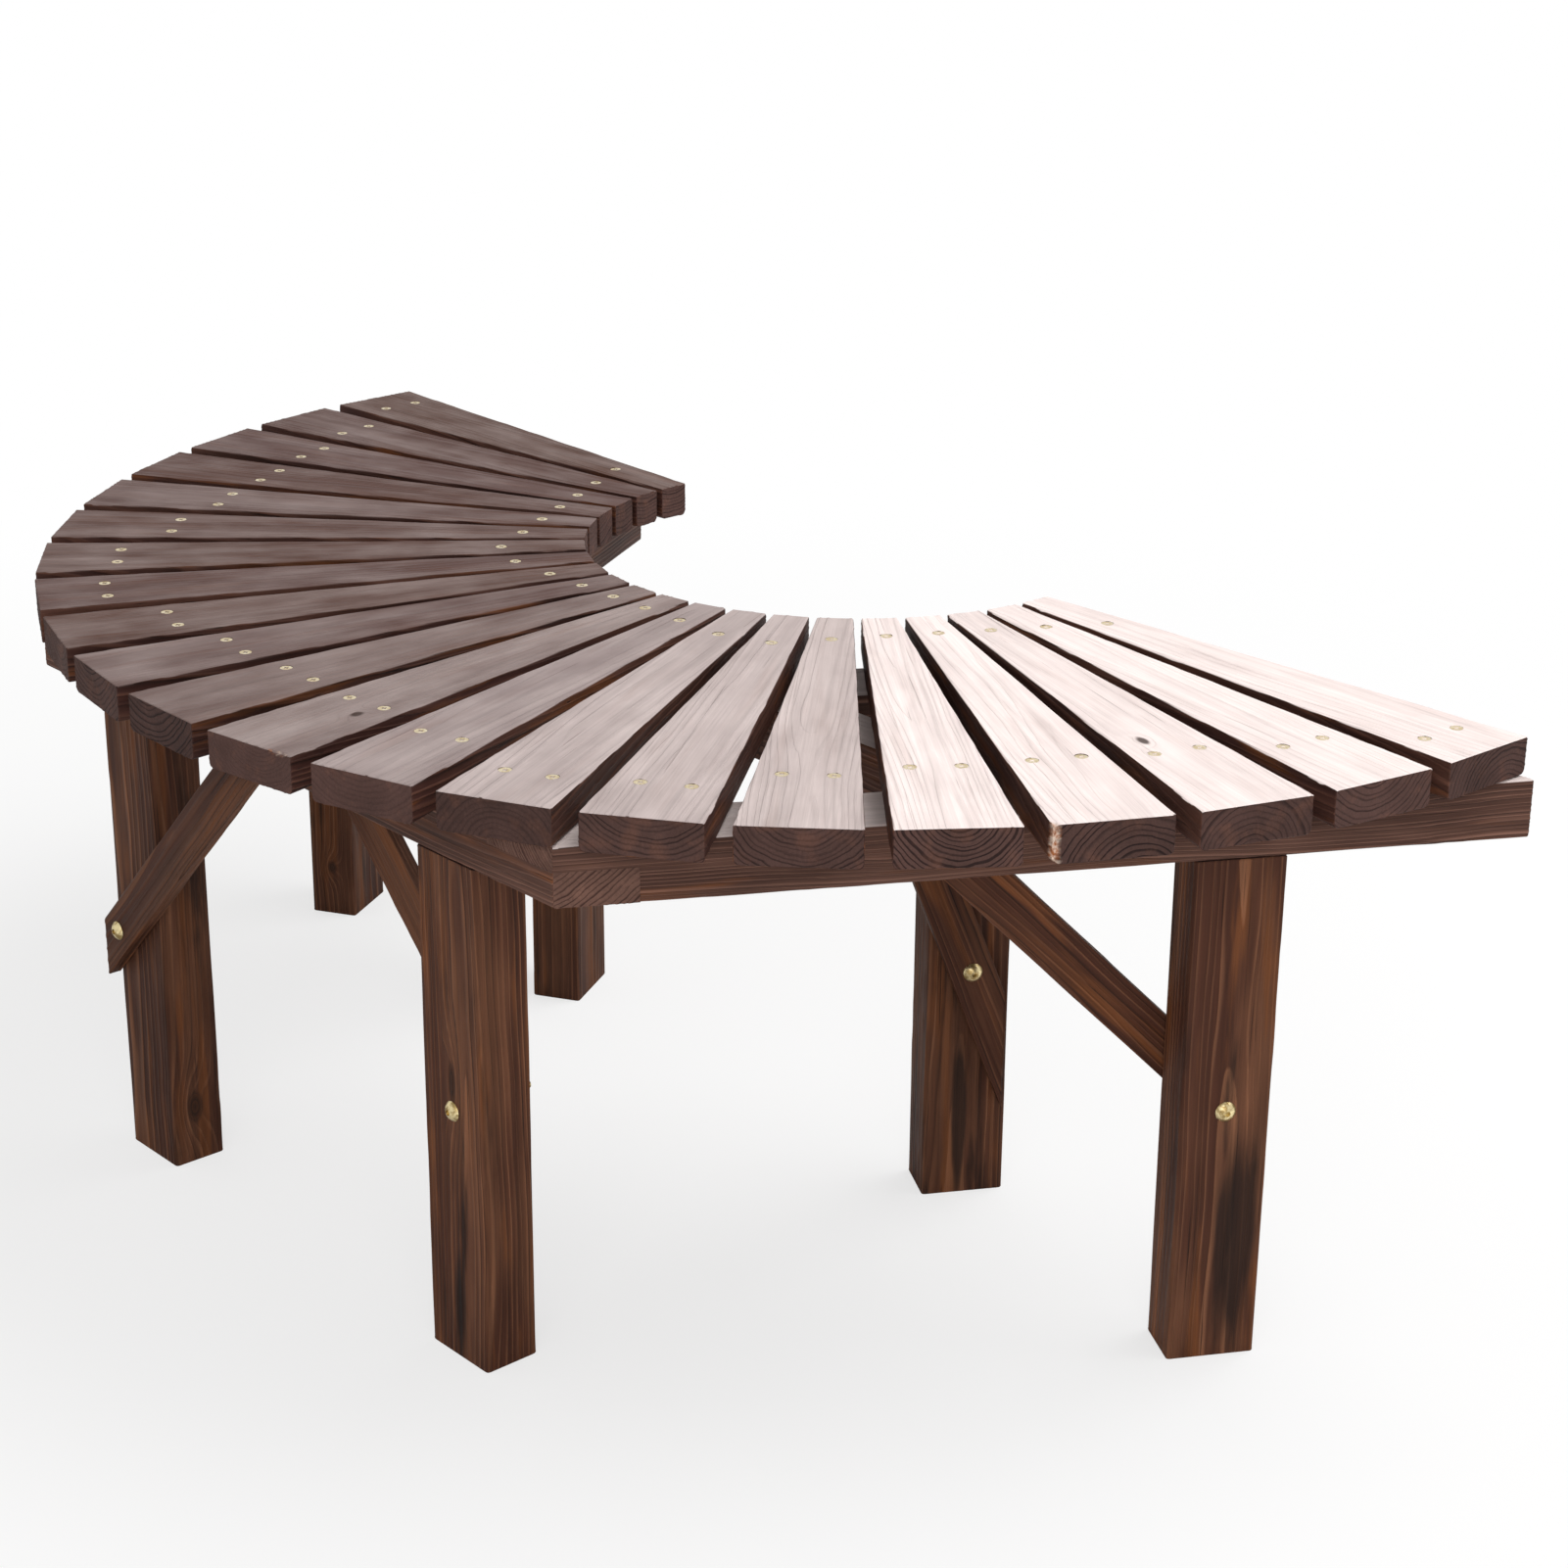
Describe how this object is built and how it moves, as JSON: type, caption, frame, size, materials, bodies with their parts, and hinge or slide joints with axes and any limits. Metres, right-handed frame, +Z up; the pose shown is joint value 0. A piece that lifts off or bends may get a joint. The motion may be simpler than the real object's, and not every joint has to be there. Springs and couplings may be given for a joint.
{
  "type": "tree_bench",
  "caption": "Half-round wooden tree bench: tapered radial slats on a frame of straight rails, with square-cut legs and bolted diagonal braces, in dark stained softwood.",
  "frame": {"origin": "on the ground, under the middle of the bounding box", "axes": "+X along the straight open side, to the right as seen from the front; +Y towards the tree; +Z up"},
  "size_m": [1.3088, 0.6676, 0.45],
  "materials": {
    "slat_timber": "sawn and stained softwood, bleached by the weather on top and dark brown below",
    "rail_timber": "planed softwood, dark red-brown stain",
    "leg_timber": "planed softwood, dark red-brown stain, strong straight grain",
    "brace_timber": "planed softwood batten, dark red-brown stain",
    "yellow_zinc": "yellow zinc-plated steel"
  },
  "bodies": {
    "root": {"brace_bolts": "yellow_zinc", "brace_inner_left": "brace_timber", "brace_inner_right": "brace_timber", "brace_nuts": "yellow_zinc", "brace_outer_end_left": "brace_timber", "brace_outer_end_right": "brace_timber", "brace_outer_middle_left": "brace_timber", "brace_outer_middle_right": "brace_timber", "brace_screws": "yellow_zinc", "brace_washers": "yellow_zinc", "corner_screws": "yellow_zinc", "cross_rail": "rail_timber", "cross_rail_screws": "yellow_zinc", "crossing_screws": "yellow_zinc", "leg_inner_left": "leg_timber", "leg_inner_right": "leg_timber", "leg_outer_end_left": "leg_timber", "leg_outer_end_right": "leg_timber", "leg_outer_middle_left": "leg_timber", "leg_outer_middle_right": "leg_timber", "leg_screws": "yellow_zinc", "rail_inner_left": "rail_timber", "rail_inner_right": "rail_timber", "rail_outer_left": "rail_timber", "rail_outer_middle": "rail_timber", "rail_outer_right": "rail_timber", "slat_01": "slat_timber", "slat_02": "slat_timber", "slat_03": "slat_timber", "slat_04": "slat_timber", "slat_05": "slat_timber", "slat_06": "slat_timber", "slat_07": "slat_timber", "slat_08": "slat_timber", "slat_09": "slat_timber", "slat_10": "slat_timber", "slat_11": "slat_timber", "slat_12": "slat_timber", "slat_13": "slat_timber", "slat_14": "slat_timber", "slat_15": "slat_timber", "slat_16": "slat_timber", "slat_17": "slat_timber", "slat_18": "slat_timber", "slat_19": "slat_timber", "slat_20": "slat_timber", "slat_21": "slat_timber", "slat_screws_inner": "yellow_zinc", "slat_screws_outer": "yellow_zinc"}
  },
  "joints": []
}
